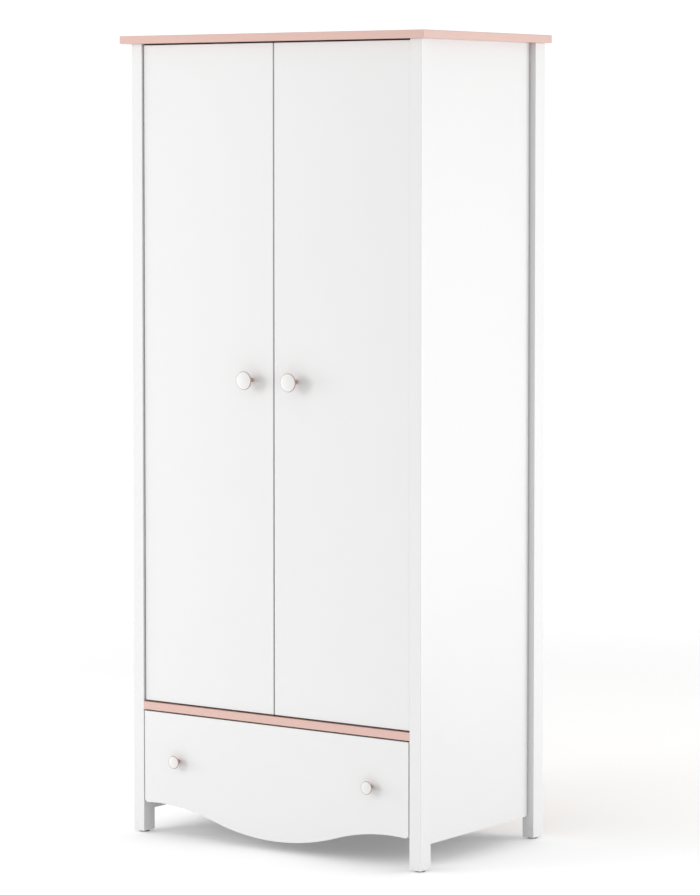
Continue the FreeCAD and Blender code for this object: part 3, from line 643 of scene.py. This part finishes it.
def sky(zenith, horizon):
    """Light from all round, changing towards the zenith, behind a white that only the camera sees."""
    world = bpy.data.worlds.new("studio_sky")
    world.use_nodes = True
    world.node_tree.nodes.clear()
    graph = Graph(world.node_tree)
    direction = graph.node("ShaderNodeTexCoord", output="Generated")
    climb = graph.node("ShaderNodeSeparateXYZ", {}, {"Vector": direction}, "Z")
    strength = graph.node("ShaderNodeMapRange", {}, {"Value": climb, "To Min": horizon, "To Max": zenith})
    light = graph.node("ShaderNodeBackground", {}, {"Color": WHITE, "Strength": strength})
    seen = graph.node("ShaderNodeBackground", {}, {"Color": WHITE, "Strength": SEEN_WHITE})
    by_camera = graph.node("ShaderNodeLightPath", output="Is Camera Ray")
    surface = graph.node("ShaderNodeMixShader", {}, {0: by_camera, 1: light, 2: seen})
    graph.node("ShaderNodeOutputWorld", {}, {"Surface": surface})
    bpy.context.scene.world = world


def studio_floor(reach, end, glow):
    """A plain pale floor under the glides, faded out into the white round it."""
    mesh = bpy.data.meshes.new("studio_floor")
    build = bmesh.new()
    bmesh.ops.create_circle(build, cap_ends=True, segments=FLOOR_SIDES, radius=end)
    build.to_mesh(mesh)
    build.free()
    finish = Finish("floor_paint")
    tone = finish.blend(finish.noise(600 * MM), *[shade(WHITE, grey) for grey in FLOOR_TONES])
    fade = finish.distance((0.0, 0.0, 0.0)).ramp(end, reach)
    paint = finish.done(Base_Color=tone, Roughness=0.7, Specular_IOR_Level=0.2, Alpha=fade,
                        Emission_Color=WHITE, Emission_Strength=glow)
    mesh.materials.append(paint)
    made = bpy.data.objects.new("studio_floor", mesh)
    made.location.z = FRAME_BOX[0].z - FLOOR_DROP
    bpy.context.scene.collection.objects.link(made)


class WARDROBE_OT_stage(bpy.types.Operator):
    """Make the floor, the sky, the lights and the camera"""

    bl_idname = "wardrobe.stage"
    bl_label = "Stage"

    def execute(self, context):
        studio = user("studio")
        scene = context.scene
        low, high = FRAME_BOX
        heart = (low + high) / 2
        studio_floor(studio.floor_reach, studio.floor_end, studio.glow)
        sky(studio.zenith, studio.horizon)
        wide = studio.softbox_wide
        softbox("key_softbox", studio.key_place, heart, wide, wide, studio.key)
        softbox("fill_softbox", studio.fill_place, heart, wide, wide, studio.fill, mirrored=False)
        softbox("side_softbox", studio.side_place, heart, wide, studio.side_tall, studio.side)
        lens = bpy.data.cameras.new("camera")
        lens.lens = studio.lens
        lens.sensor_width = SENSOR_WIDE
        lens.shift_y = studio.shift
        lens.clip_end = FAR_CLIP
        camera = bpy.data.objects.new("camera", lens)
        camera.location = studio.camera_place
        camera.rotation_euler = (math.pi / 2 - studio.tilt, 0.0, studio.heading)
        scene.collection.objects.link(camera)
        scene.camera = camera
        scene.view_settings.view_transform = "Standard"
        return {"FINISHED"}


OPERATORS = (
    WARDROBE_OT_white_boards,
    WARDROBE_OT_pink_boards,
    WARDROBE_OT_knobs,
    WARDROBE_OT_inside_boards,
    WARDROBE_OT_hinges,
    WARDROBE_OT_fasteners,
    WARDROBE_OT_slides,
    WARDROBE_OT_hanging_rail,
    WARDROBE_OT_feet,
    WARDROBE_OT_stage,
)


class WARDROBE_PT_finishes(bpy.types.Panel):
    """Lists the wardrobe's operators and settings"""

    bl_idname = "WARDROBE_PT_finishes"
    bl_label = "Wardrobe"
    bl_space_type = "VIEW_3D"
    bl_region_type = "UI"
    bl_category = "Wardrobe"

    def draw(self, context):
        for operator in OPERATORS:
            self.layout.operator(operator.bl_idname)
        for kind in GROUPS:
            box = self.layout.box()
            settings = user(kind)
            for name in settings.__annotations__:
                box.prop(settings, name)


GROUPS = {"colours": WardrobeColours, "sizes": WardrobeSizes, "studio": WardrobeStudio}
CLASSES = (*GROUPS.values(), *OPERATORS, WARDROBE_PT_finishes)


def register():
    for made in CLASSES:
        bpy.utils.register_class(made)
    for kind, group in GROUPS.items():
        setattr(bpy.types.Scene, "wardrobe_" + kind, PointerProperty(type=group))


def unregister():
    for kind in GROUPS:
        delattr(bpy.types.Scene, "wardrobe_" + kind)
    for made in reversed(CLASSES):
        bpy.utils.unregister_class(made)


def main():
    register()
    for operator in OPERATORS:
        group, action = operator.bl_idname.split(".")
        getattr(getattr(bpy.ops, group), action)()


if __name__ == "__main__":
    main()
